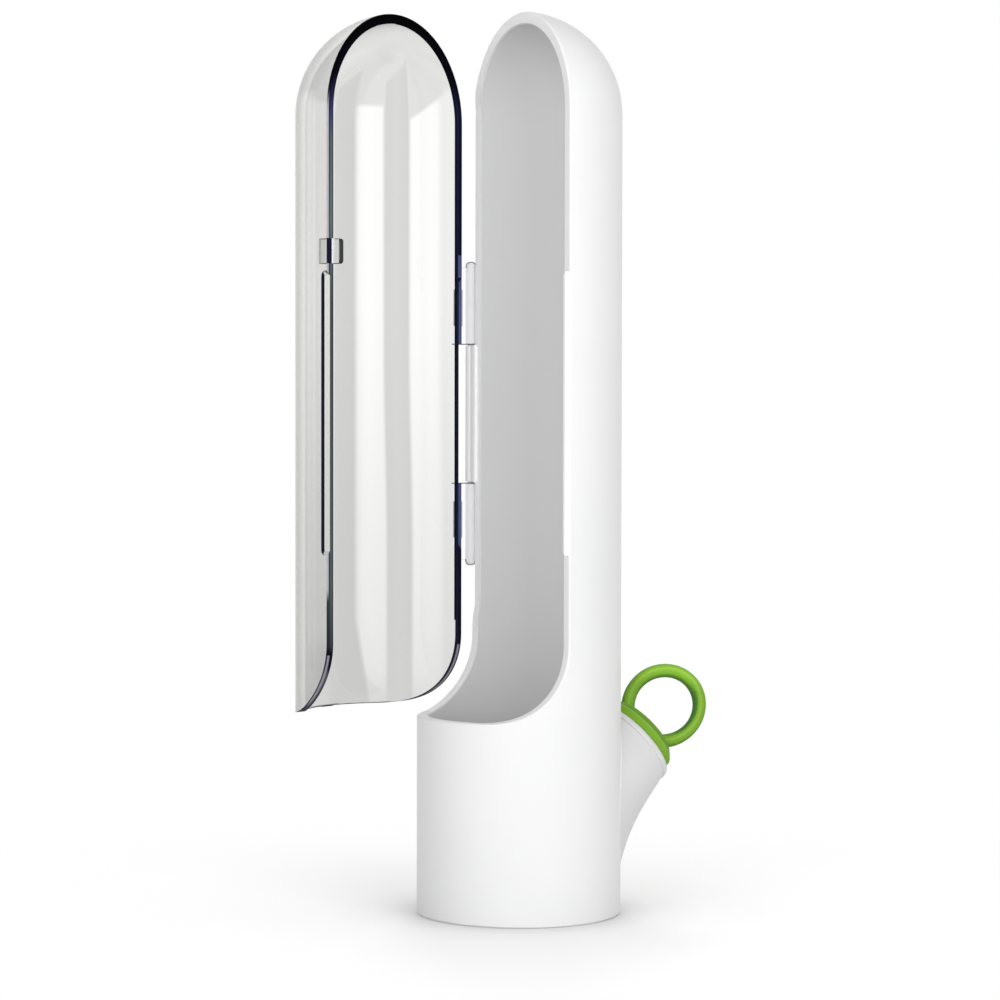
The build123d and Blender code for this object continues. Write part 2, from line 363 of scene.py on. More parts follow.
class Paint(Graph):
    """One material or world."""

    def __init__(self, owner: bpy.types.Material | bpy.types.World) -> None:
        """Empties the owner's node tree.

        Args:
            owner: The material or world that the nodes belong to.
        """
        owner.use_nodes = True
        self.owner = owner
        super().__init__(owner.node_tree)

    @classmethod
    def material(cls, name: str) -> "Paint":
        """Starts a new material of that name."""
        return cls(bpy.data.materials.new(name))

    @staticmethod
    def _set_stops(ramp: bpy.types.ColorRamp, stops: Stops) -> None:
        """Gives a ramp its stops, each a place and a grey or a colour."""
        while len(ramp.elements) < len(stops):
            ramp.elements.new(1.0)
        for element, (place, shade) in zip(ramp.elements, stops):
            colour = shade if isinstance(shade, tuple) else (shade, shade, shade)
            element.position = place
            element.color = (*colour, 1.0)

    def ramp(self, number: Wire, stops: Stops) -> bpy.types.NodeSocket:
        """Turns a number into a colour by a row of stops.

        Args:
            number: The number that is looked up.
            stops: Each stop's number and its grey or colour, in rising order.

        Returns:
            The colour.
        """
        first = stops[0][0]
        span = stops[-1][0] - first
        inputs = {"Value": number, "From Min": first, "From Max": first + span}
        share = self.node("ShaderNodeMapRange", inputs=inputs).outputs["Result"]
        places = tuple(((place - first) / span, shade) for place, shade in stops)
        made = self.node("ShaderNodeValToRGB", inputs={0: share})
        self._set_stops(made.color_ramp, places)
        return made.outputs["Color"]

    def level(self, number: Wire, stops: Levels) -> Wire:
        """Turns a number into another by a row of stops between 0 and 1."""
        return Wire(self, self.ramp(number, stops))

    def tinted(self, level: Wire, colour: Colour | bpy.types.NodeSocket) -> bpy.types.NodeSocket:
        """A colour times a number."""
        inputs = {0: colour, "Scale": level}
        return self.node("ShaderNodeVectorMath", {"operation": "SCALE"}, inputs).outputs[0]

    def grazing(self) -> Wire:
        """0 where the surface faces the viewer and 1 where it is seen edge on."""
        made = self.node("ShaderNodeLayerWeight", inputs={"Blend": 0.5})
        return Wire(self, made.outputs["Facing"])

    def seen(self) -> Wire:
        """1 where a thing is looked at: straight, in a reflection or through clear plastic."""
        path = self.node("ShaderNodeLightPath")
        names = ("Is Camera Ray", "Is Glossy Ray", "Is Transmission Ray")
        camera, glossy, through = (Wire(self, path.outputs[name]) for name in names)
        return camera.high(glossy).high(through)

    def place(self) -> bpy.types.NodeSocket:
        """The point being painted, in the object's own coordinates."""
        return self.node("ShaderNodeTexCoord").outputs["Object"]

    def parts(self, vector: bpy.types.NodeSocket) -> dict[Axis3, Wire]:
        """The three numbers of a vector."""
        split = self.node("ShaderNodeSeparateXYZ", inputs={0: vector})
        return {axis: Wire(self, split.outputs[axis.value]) for axis in Axis3}

    def noise(self, vector: bpy.types.NodeSocket, size: float, detail: float = 2.0) -> Wire:
        """Soft noise with lumps of a real size.

        Args:
            vector: Where the noise is read.
            size: The lumps' size in metres.
            detail: How many finer layers are added.

        Returns:
            The noise, about 0.5 on average.
        """
        inputs = {"Vector": vector, "Scale": 1.0 / size, "Detail": detail}
        return Wire(self, self.node("ShaderNodeTexNoise", inputs=inputs).outputs["Fac"])

    def blend(
        self,
        factor: Wire,
        low: bpy.types.NodeSocket | Colour,
        high: bpy.types.NodeSocket | Colour,
    ) -> bpy.types.NodeSocket:
        """Mixes two colours.

        Args:
            factor: 0 for the first and 1 for the second.
            low: The first colour.
            high: The second colour.

        Returns:
            The mixed colour.
        """
        first, second = ((*c, 1.0) if isinstance(c, tuple) else c for c in (low, high))
        # The node's inputs of one name are told apart by number: 6 and 7 are its colours
        inputs = {"Factor": factor, 6: first, 7: second}
        mixed = self.node("ShaderNodeMix", {"data_type": "RGBA"}, inputs)
        return mixed.outputs[2]

    def bump(self, height: Wire, strength: float, depth: float) -> bpy.types.NodeSocket:
        """A normal that follows a height.

        Args:
            height: The height, from 0 to 1.
            strength: How much of it shows.
            depth: The real depth in metres.

        Returns:
            The normal.
        """
        inputs = {"Height": height, "Strength": strength, "Distance": depth}
        return self.node("ShaderNodeBump", inputs=inputs).outputs[0]

    def plastic(self, inputs: dict[str | int, object]) -> bpy.types.NodeSocket:
        """One surface shader with the given inputs."""
        return self.node("ShaderNodeBsdfPrincipled", inputs=inputs).outputs[0]

    def mix(
        self,
        factor: Wire | bpy.types.NodeSocket,
        low: bpy.types.NodeSocket,
        high: bpy.types.NodeSocket,
    ) -> bpy.types.NodeSocket:
        """Mixes two surface shaders."""
        return self.node("ShaderNodeMixShader", inputs={0: factor, 1: low, 2: high}).outputs[0]

    def finish(self, surface: bpy.types.NodeSocket) -> bpy.types.Material | bpy.types.World:
        """Links the surface to the output.

        Args:
            surface: The shader that shows.

        Returns:
            The finished material or world.
        """
        kind = "ShaderNodeOutputMaterial"
        if isinstance(self.owner, bpy.types.World):
            kind = "ShaderNodeOutputWorld"
        self.node(kind, inputs={"Surface": surface})
        return self.owner


@dataclass(frozen=True)
class WhitePlastic:
    """Satin moulded white plastic."""

    tone: Colour = (0.88, 0.88, 0.878)
    shade: Colour = (0.86, 0.861, 0.863)
    roughness: float = 0.42
    roughness_spread: float = 0.06
    shine: float = 0.2
    cloud: float = 45.0 * MM
    cloud_span: Span = (0.3, 0.7)
    grain: float = 0.35 * MM
    grain_share: float = 0.15
    grain_depth: float = 0.01 * MM

    def material(self, name: str) -> bpy.types.Material:
        """Builds the material.

        Args:
            name: The material's name.

        Returns:
            The material.
        """
        paint = Paint.material(name)
        place = paint.place()
        grain = paint.noise(place, self.grain, detail=1.0)
        rough = self.roughness + (grain - 0.5) * self.roughness_spread
        inputs = {
            "Base Color": self.colour(paint, place),
            "Roughness": rough,
            "Specular IOR Level": self.shine,
            "Normal": paint.bump(grain, self.grain_share, self.grain_depth),
        }
        return paint.finish(paint.plastic(inputs))

    def colour(self, paint: Paint, place: bpy.types.NodeSocket) -> bpy.types.NodeSocket:
        """The surface's colour at each place, with faint clouds."""
        cloud = paint.noise(place, self.cloud)
        return paint.blend(cloud.between(*self.cloud_span), self.tone, self.shade)


@dataclass(frozen=True)
class Silicone:
    """Soft rubber that lets a little light in."""

    tone: Colour = (0.66, 0.66, 0.65)
    deep: Colour = (0.6, 0.6, 0.59)
    roughness: float = 0.6
    roughness_spread: float = 0.08
    shine: float = 0.08
    inner_light: float = 0.1
    inner_colour: Colour = (0.5, 1.0, 0.25)
    inner_reach: float = 2.5 * MM
    cloud: float = 9.0 * MM
    cloud_span: Span = (0.35, 0.8)
    grain: float = 0.5 * MM
    grain_share: float = 0.03
    grain_depth: float = 0.01 * MM

    def material(self, name: str) -> bpy.types.Material:
        """Builds the material.

        Args:
            name: The material's name.

        Returns:
            The material.
        """
        paint = Paint.material(name)
        place = paint.place()
        grain = paint.noise(place, self.grain, detail=1.0)
        inputs = {
            "Base Color": self.colour(paint, place),
            "Roughness": self.roughness + (grain - 0.5) * self.roughness_spread,
            "Specular IOR Level": self.shine,
            "Subsurface Weight": self.inner_light,
            "Subsurface Radius": self.inner_colour,
            "Subsurface Scale": self.inner_reach,
            "Normal": paint.bump(grain, self.grain_share, self.grain_depth),
        }
        return paint.finish(paint.plastic(inputs))

    def colour(self, paint: Paint, place: bpy.types.NodeSocket) -> bpy.types.NodeSocket:
        """The rubber's colour at each place, with faint clouds."""
        cloud = paint.noise(place, self.cloud)
        return paint.blend(cloud.between(*self.cloud_span), self.tone, self.deep)


@dataclass(frozen=True)
class PlugShape:
    """The plug's sizes, in its own place: the origin in the middle of the mouth, +Z out of it."""

    mouth: Span = (41.15 * MM, 52.5 * MM)
    climb: float = 40.2
    bore_radius: float = 11.9 * MM
    stem_gap: float = 0.6 * MM
    stem_length: float = 6.0 * MM
    rib_gap: float = 0.15 * MM
    rib_width: float = 1.0 * MM
    rib_depth: float = 1.4 * MM
    rib_step: float = 2.5 * MM
    rib_count: int = 2
    flange_gap: float = 0.1 * MM
    flange_radius: float = 14.0 * MM
    flange_top_radius: float = 11.7 * MM
    flange_straight: float = 2.5 * MM
    flange_height: float = 5.0 * MM
    ring_centre: float = 15.65 * MM
    ring_long: float = 12.35 * MM
    ring_short: float = 11.15 * MM
    ring_band: float = 4.4 * MM
    ring_thickness: float = 4.2 * MM
    ring_round: float = 1.7 * MM
    ring_turn: float = 27.9
    ring_steps: int = 160
    corner_steps: int = 8
    root_reach: float = 3.3 * MM
    root_rise: float = 1.5 * MM
    root_sides: int = 48
    skin: float = 0.2 * MM

    def tilt(self) -> Matrix:
        """The turn from the plug's own place to the keeper's."""
        return Matrix.Rotation(math.radians(self.climb - 90.0), 3, "X")

    def origin(self) -> Vector:
        """The middle of the mouth, in the keeper's place."""
        return Vector((0.0, *self.mouth))

    def build(self, name: str, material: bpy.types.Material) -> bpy.types.Object:
        """Makes the plug: stem, ribs, flange and pull ring in one skin.

        Args:
            name: The piece's name.
            material: What it is made of.

        Returns:
            The piece.
        """
        form = Form(name)
        stem = form.size("Stem radius", self.bore_radius - self.stem_gap)
        length = form.size("Stem length", self.stem_length)
        seat = form.size("Flange gap", self.flange_gap)
        straight = form.size("Flange straight", self.flange_straight)
        wide = form.size("Flange radius", self.flange_radius)
        narrow = form.size("Flange top radius", self.flange_top_radius)
        top = form.size("Flange height", self.flange_height)
        shapes = [
            form.round_piece(length * -1.0, top * 0.5, stem, stem),
            form.round_piece(seat, seat + straight, wide, wide),
            form.round_piece(seat + straight, top, wide, narrow),
            self.ribs(form),
            self.ring(form),
            self.roots(form),
        ]
        joined = form.node("GeometryNodeJoinGeometry", inputs={0: shapes}).outputs[0]
        placed = form.moved(joined, by=tuple(self.origin()), turn=tuple(self.tilt().to_euler()))
        return form.piece(placed, material, self.skin)

    def ribs(self, form: Form) -> bpy.types.NodeSocket:
        """The soft ribs round the stem, which seal in the bore."""
        width = form.size("Rib width", self.rib_width)
        radius = form.size("Rib radius", self.bore_radius - self.rib_gap)
        first = form.size("First rib depth", self.rib_depth)
        step = form.size("Rib step", self.rib_step)
        rib = form.round_piece(width * -0.5, width * 0.5, radius, radius)
        count = form.size("Rib count", self.rib_count)
        return form.row(rib, count, form.vector(z=first * -1.0), form.vector(z=step * -1.0))

    def ring(self, form: Form) -> bpy.types.NodeSocket:
        """The pull ring: a rounded bar that follows an ellipse."""
        short = form.size("Ring short", self.ring_short)
        long = form.size("Ring long", self.ring_long)
        inputs = {"Resolution": self.ring_steps, "Radius": 1.0}
        circle = form.node("GeometryNodeCurvePrimitiveCircle", inputs=inputs).outputs[0]
        path = form.moved(circle, scale=form.vector(short, long, 1.0))
        inputs = {
            "Width": form.size("Ring thickness", self.ring_thickness),
            "Height": form.size("Ring band", self.ring_band),
        }
        bar = form.node("GeometryNodeCurvePrimitiveQuadrilateral", inputs=inputs).outputs[0]
        corner = form.size("Ring round", self.ring_round)
        inputs = {"Curve": bar, "Count": self.corner_steps, "Radius": corner}
        rounded = form.node("GeometryNodeFilletCurve", {"mode": "POLY"}, inputs).outputs[0]
        inputs = {"Curve": path, "Profile Curve": rounded}
        swept = form.node("GeometryNodeCurveToMesh", inputs=inputs).outputs[0]
        lift = form.vector(z=form.size("Ring centre", self.ring_centre))
        upright = (math.radians(90.0), 0.0, math.radians(90.0 - self.ring_turn))
        return form.moved(swept, by=lift, turn=upright)

    def roots(self, form: Form) -> bpy.types.NodeSocket:
        """The low swellings where the ring grows out of the flange."""
        reach = form.size("Root reach", self.root_reach)
        rise = form.size("Root rise", self.root_rise)
        inputs = {"Segments": self.root_sides, "Rings": self.root_sides // 2, "Radius": 1.0}
        ball = form.node("GeometryNodeMeshUVSphere", inputs=inputs)
        root = form.moved(ball.outputs["Mesh"], scale=form.vector(reach, reach, rise))
        height = form.size("Root height", self.flange_height)
        out = form.size("Root distance", self.root_distance())
        pair = form.row(root, 2, form.vector(x=out, z=height), form.vector(x=out * -2.0))
        return form.moved(pair, turn=(0.0, 0.0, math.radians(90.0 - self.ring_turn)))

    def root_distance(self) -> float:
        """How far from the middle the ring meets the flange."""
        drop = (self.ring_centre - self.flange_height) / self.ring_long
        return self.ring_short * math.sqrt(1.0 - drop * drop)


@dataclass(frozen=True)
class PlugSilicone(Silicone):
    """The plug's green rubber, with painted light and shade on its ring and flange."""

    shape: PlugShape = PlugShape()
    inner_light: float = 0.04
    # Painted shading across the ring's bar: painted shade on its sides and a painted highlight along the
    # middle of its face
    ring_painted_shading: Shades = (
        (-2.2 * MM, (0.065, 0.17, 0.02)),
        (-1.9 * MM, (0.11, 0.27, 0.026)),
        (-1.4 * MM, (0.18, 0.38, 0.034)),
        (-0.3 * MM, (0.22, 0.43, 0.042)),
        (0.2 * MM, (0.3, 0.5, 0.07)),
        (0.6 * MM, (0.22, 0.43, 0.042)),
        (1.7 * MM, (0.18, 0.37, 0.034)),
        (2.2 * MM, (0.09, 0.23, 0.022)),
    )
    # Painted shading up the flange: lighter on its straight foot, a painted highlight along its edge and
    # darker on its cone
    flange_painted_shading: Shades = (
        (0.0, (0.19, 0.4, 0.03)),
        (2.3 * MM, (0.21, 0.42, 0.035)),
        (2.6 * MM, (0.3, 0.5, 0.12)),
        (2.9 * MM, (0.15, 0.33, 0.03)),
        (5.0 * MM, (0.16, 0.35, 0.03)),
    )
    ring_foot: Span = (-0.3 * MM, 1.2 * MM)
    cloud_light: float = 1.06
    cloud_shade: float = 0.12

    # Painted shade on the ring's inner side towards one way round it, and painted light on its crown
    shade_way: float = 20.0
    shade_span: Span = (0.3, 0.8)
    inner_side: Span = (-1.3 * MM, -0.5 * MM)
    inner_shade: Colour = (0.075, 0.2, 0.035)
    light_way: float = 125.0
    light_span: Span = (0.4, 0.95)
    crown_painted_light: float = 0.3

    def colour(self, paint: Paint, place: bpy.types.NodeSocket) -> bpy.types.NodeSocket:
        """The rubber's colour at each place, with its painted light and shade.

        Args:
            paint: The material.
            place: The point being painted.

        Returns:
            The colour.
        """
        s = self.shape
        turn = Matrix.Rotation(math.radians(s.ring_turn - 90.0), 3, "Z") @ s.tilt().transposed()
        inputs = {"Vector": place, "Location": -(turn @ s.origin()), "Rotation": turn.to_euler()}
        part = paint.parts(paint.node("ShaderNodeMapping", inputs=inputs).outputs[0])
        out = part[Axis3.X] / s.ring_short
        up = (part[Axis3.Z] - s.ring_centre) / s.ring_long
        middle = (s.ring_short + s.ring_long) / 2
        across = (distance(out, up) - 1.0) * middle
        shaded = self.toward(self.shade_way, out, up).between(*self.shade_span)
        shaded = shaded * (1.0 - across.between(*self.inner_side))
        ring = paint.blend(shaded, paint.ramp(across, self.ring_painted_shading), self.inner_shade)
        crown = self.toward(self.light_way, out, up).between(*self.light_span)
        ring = paint.tinted(1.0 + crown * self.crown_painted_light, ring)
        flange = paint.ramp(part[Axis3.Z], self.flange_painted_shading)
        on_ring = part[Axis3.Z].between(*(s.flange_height + above for above in self.ring_foot))
        toned = paint.blend(on_ring, flange, ring)
        cloud = paint.noise(place, self.cloud)
        return paint.tinted(self.cloud_light - cloud * self.cloud_shade, toned)

    @staticmethod
    def toward(way: float, out: Wire, up: Wire) -> Wire:
        """1 at one place round the ring, given in degrees, and -1 across from it."""
        turn = math.radians(way)
        return out * math.cos(turn) + up * math.sin(turn)


@dataclass(frozen=True)
class ShellPlastic(WhitePlastic):
    """The shell's white plastic, with painted shade and painted light on parts of it."""

    dome_centre: float = 249.6 * MM
    lip_height: float = 62.1 * MM

    # Painted shade on the interior, above the cup's floor, and painted light on the edge round the
    # opening
    inside_painted_shade: Colour = (0.72, 0.72, 0.722)
    inner_reach: float = 28.6 * MM
    floor_top: float = 3.03 * MM
    edge_painted_light: Colour = (0.97, 0.97, 0.97)
    edge_plane: float = 0.2 * MM
    relief_plane: float = 1.1 * MM
    outer_reach: float = 31.9 * MM

    # Painted shade on the spout, darker towards its mouth
    spout_painted_shade: Colour = (0.74, 0.74, 0.74)
    spout_span: Span = (32.05 * MM, 32.6 * MM)
    spout_front: float = 10.0 * MM
    mouth_painted_shade: Colour = (0.7, 0.7, 0.7)
    mouth_span: Span = (42.0 * MM, 56.0 * MM)

    # A dot and a dash of painted shade on the lip, for a small pit and a slot
    mark_painted_shade: Colour = (0.3, 0.3, 0.31)
    mark_reach: float = 0.2 * MM
    dot: Span = (-25.0 * MM, -21.0 * MM)
    dot_radius: float = 0.35 * MM
    dash: tuple[Span, Span] = ((-14.7 * MM, -24.6 * MM), (-8.9 * MM, -26.2 * MM))
    dash_width: float = 0.35 * MM

    def colour(self, paint: Paint, place: bpy.types.NodeSocket) -> bpy.types.NodeSocket:
        """The surface's colour at each place, with its painted shade and painted light.

        Args:
            paint: The material.
            place: The point being painted.

        Returns:
            The colour.
        """
        part = paint.parts(place)
        x, y, z = (part[axis] for axis in Axis3)
        rise = (z - self.dome_centre).high(0.0)
        spine = distance(x, y, rise)
        inside_painted_shade = (spine < self.inner_reach) * (z > self.floor_top)
        on_lip = z.within(self.lip_height - self.mark_reach, self.lip_height + self.mark_reach)
        toned = paint.blend(inside_painted_shade, super().colour(paint, place), self.inside_painted_shade)
        behind = (x > 0.0) * (self.edge_plane - self.relief_plane) + self.relief_plane
        edge = (y < behind) * (z > self.lip_height + self.edge_plane)
        edge = edge * (spine < self.outer_reach) * (1.0 - inside_painted_shade)
        toned = paint.blend(edge, toned, self.edge_painted_light)
        on_spout = spine.between(*self.spout_span) * (y > self.spout_front)
        spout = paint.blend(z.between(*self.mouth_span), self.spout_painted_shade, self.mouth_painted_shade)
        toned = paint.blend(on_spout, toned, spout)
        return paint.blend(on_lip * self.marks(x, y), toned, self.mark_painted_shade)

    def marks(self, x: Wire, y: Wire) -> Wire:
        """1 on the small marks, seen from above."""
        (start_x, start_y), (end_x, end_y) = self.dash
        along = Vector((end_x - start_x, end_y - start_y))
        length = along.length
        along.normalize()
        from_x = x - start_x
        from_y = y - start_y
        run = from_x * along.x + from_y * along.y
        off = (from_y * along.x - from_x * along.y).step("ABSOLUTE")
        dash = (off < self.dash_width / 2) * run.within(0.0, length)
        dot = distance(x - self.dot[0], y - self.dot[1]) < self.dot_radius
        return dash.high(dot)


@dataclass(frozen=True)
class DoorOutline:
    """Where the clear door's edge runs, in the door's own place when it is shut."""

    radius: float = 32.0 * MM
    seam: float = 0.5 * MM
    lip_height: float = 62.1 * MM
    corner_radius: float = 23.4 * MM
    dome_centre: float = 249.6 * MM
    notch_bottom: float = 112.7 * MM
    notch_top: float = 200.3 * MM
    notch_depth: float = 2.4 * MM
    notch_width: float = 1.5 * MM
    clip_bottom: float = 178.8 * MM
    sleeve_top: float = 205.5 * MM
    tongue_bottom: float = 202.5 * MM
    tongue_height: float = 7.7 * MM
    tongue_reach: float = 1.7 * MM

    # How far a painted area reaches past a face, or stops short of it, so that no sliver shows
    hair: float = 0.03 * MM


@dataclass(frozen=True)
class ShutPlace:
    """A point of the door in numbers, turned back to where it is when the door is shut."""

    x: Wire
    y: Wire
    z: Wire
    spine: Wire
    turn: Wire

    @classmethod
    def read(cls, paint: Paint, outline: DoorOutline) -> "ShutPlace":
        """Works the numbers out.

        Args:
            paint: The material.
            outline: The door's sizes.

        Returns:
            The place: x, y, z, the distance from the tube's centre line, and degrees round it.
        """
        joint = next(j for j in frame["joints"] if j["child"] == "door")
        angle = math.radians(joint["range_deg"][1])
        hinge = Vector(joint["pos_m"])
        turned = Matrix.Rotation(angle, 3, "Z")
        inputs = {
            "Vector": paint.place(),
            "Location": hinge - turned @ hinge,
            "Rotation": Euler((0.0, 0.0, angle)),
        }
        part = paint.parts(paint.node("ShaderNodeMapping", inputs=inputs).outputs[0])
        x, y, z = (part[axis] for axis in Axis3)
        rise = (z - outline.dome_centre).high(0.0)
        spine = distance(x, y, rise)
        return cls(x, y, z, spine, x.step("ARCTAN2", y * -1.0) * math.degrees(1.0))


@dataclass(frozen=True)
class ClearPlastic:
    """Clear plastic, and what stands in for it on faces that look solid or aren't seen."""

    outline: DoorOutline = DoorOutline()
    roughness: float = 0.02
    index: float = 1.49
    shadow: Colour = (0.92, 0.92, 0.92)

    def glass(self, paint: Paint, tint: bpy.types.NodeSocket | Colour) -> bpy.types.NodeSocket:
        """Clear plastic that lets the lamps through.

        Args:
            paint: The material.
            tint: What is left of the light behind it.

        Returns:
            The surface.
        """
        clear = paint.plastic(
            {
                "Base Color": (*tint, 1.0) if isinstance(tint, tuple) else tint,
                "Roughness": self.roughness,
                "IOR": self.index,
                "Transmission Weight": 1.0,
            }
        )
        lamp_way = paint.node("ShaderNodeBsdfTransparent", inputs={0: (*self.shadow, 1.0)})
        shadow_ray = paint.node("ShaderNodeLightPath").outputs["Is Shadow Ray"]
        return paint.mix(shadow_ray, clear, lamp_way.outputs[0])

    @staticmethod
    def nothing(paint: Paint) -> bpy.types.NodeSocket:
        """A face that isn't seen at all, where two clear pieces lie against each other."""
        return paint.node("ShaderNodeBsdfTransparent").outputs[0]

    @staticmethod
    def ink(paint: Paint, colour: bpy.types.NodeSocket | Colour) -> bpy.types.NodeSocket:
        """Plastic that looks solid, where a cut face sends no light through."""
        shade = (*colour, 1.0) if isinstance(colour, tuple) else colour
        return paint.plastic({"Base Color": shade, "Roughness": 0.5, "Specular IOR Level": 0.01})


@dataclass(frozen=True)
class DoorPaintedBands:
    """Painted light and shade in the door's wall: soft bands of how clear it looks, by height and by
    degrees round it.
    """

    round_stops: Levels = (
        (-90.0, 0.8),
        (-85.0, 0.88),
        (-77.5, 0.87),
        (-74.5, 1.0),
        (-57.3, 0.99),
        (-55.2, 0.66),
        (-48.0, 0.69),
        (-41.0, 0.67),
        (-39.2, 0.97),
        (-32.0, 1.0),
        (-23.0, 0.98),
        (-21.2, 0.67),
        (-5.2, 0.69),
        (-4.2, 0.9),
        (-1.0, 0.9),
        (44.0, 0.9),
        (58.0, 0.86),
        (62.0, 0.94),
        (66.0, 0.95),
        (74.0, 0.95),
        (76.5, 0.76),
        (90.0, 0.75),
    )
    # On the outer face alone
    outer_stops: Levels = (
        (17.0, 1.0),
        (21.0, 0.84),
        (33.0, 0.8),
        (37.0, 0.62),
        (48.0, 0.62),
        (56.0, 0.7),
        (62.0, 0.84),
        (66.0, 1.0),
    )
    # How much of the bands is left near the foot
    height_stops: Levels = (
        (66.0 * MM, 0.35),
        (73.0 * MM, 0.55),
        (86.0 * MM, 0.66),
        (110.0 * MM, 0.78),
        (150.0 * MM, 0.9),
        (195.0 * MM, 1.0),
    )
    fade_floor: float = 0.62
    dome_grey: float = 0.76

    # The left side of the middle band, which slants at its foot, and the drift of the others
    middle_start: Span = (-41.0, -36.0)
    middle_end: Span = (-18.0, -12.0)
    slant: float = 7.5
    slant_heights: Span = (68.0 * MM, 90.0 * MM)
    drift: float = 2.0
    drift_heights: Span = (110.0 * MM, 180.0 * MM)

    # Painted shade near the foot, more of it on the side turned away
    low_loss: float = 0.07
    low_heights: Span = (95.0 * MM, 195.0 * MM)
    side_loss: float = 0.2
    side_start: Span = (-6.0, -4.0)
    side_end: float = 39.0
    side_heights: Span = (78.0 * MM, 88.0 * MM)

    # The dark bands end in slanted steps below the dome, and the light ones in a straight line
    dark_top: float = 259.0 * MM
    dark_blur: Span = (-0.5 * MM, 2.0 * MM)
    step_start: float = -3.0
    step_span: float = 28.0
    step_rise: float = 0.4 * MM
    free_side_drop: float = 14.0 * MM
    light_top: Span = (255.2 * MM, 256.8 * MM)
    crest_end: float = -48.0
    crest_middle: float = -57.0
    crest_drop: float = 4.0 * MM
    crest_rise: float = 0.33 * MM

    def clear(self, paint: Paint, at: ShutPlace, outer_face: Wire) -> Wire:
        """How clear the wall looks, with the bands' painted light and shade.

        Args:
            paint: The material.
            at: The point being painted.
            outer_face: 1 on the wall's outer face.

        Returns:
            The share of light that is left.
        """
        bands = self.faded(paint, at)
        dark = bands.low(self.dome_grey)
        light = (bands - self.dome_grey).high(0.0)
        dark_end, light_end = self.ends(at)
        strips = 1.0 - outer_face * (1.0 - paint.level(at.turn, self.outer_stops))
        return (dark + (self.dome_grey - dark) * dark_end + light * (1.0 - light_end)) * strips

    def faded(self, paint: Paint, at: ShutPlace) -> Wire:
        """The bands round the door, weaker near its foot."""
        low, high = self.slant_heights
        foot = ((high - at.z) / (high - low)).high(0.0)
        past_start = at.turn.between(*self.middle_start)
        in_middle = past_start * (1.0 - at.turn.between(*self.middle_end))
        drift = (1.0 - past_start) * (1.0 - at.z.between(*self.drift_heights))
        moved = at.turn + foot * in_middle * self.slant + drift * self.drift
        bands = paint.level(moved, self.round_stops)
        loss = (1.0 - at.z.between(*self.low_heights)) * self.low_loss
        side = at.turn.between(*self.side_start) * (at.turn < self.side_end)
        side = side * (1.0 - at.z.between(*self.side_heights))
        bands = bands * (1.0 - loss) * (1.0 - side * self.side_loss)
        fade = paint.level(at.z, self.height_stops)
        return (bands - self.fade_floor).high(0.0) * fade + bands.low(self.fade_floor)

    def ends(self, at: ShutPlace) -> tuple[Wire, Wire]:
        """How far a point is past the dark bands' upper ends and past the light ones'."""
        past = (self.step_start - at.turn).step("MODULO", self.step_span)
        free_side = at.turn > 0.0
        above = at.z - (past * self.step_rise + self.dark_top - free_side * self.free_side_drop)
        long_blur = above.between(0.0, self.free_side_drop) * free_side
        dark_end = above.between(*self.dark_blur).high(long_blur)
        rise = (at.turn - self.crest_middle) * self.crest_rise
        crest = (at.turn < self.crest_end) * (-self.crest_drop - rise)
        return dark_end, (at.z - crest).between(*self.light_top)


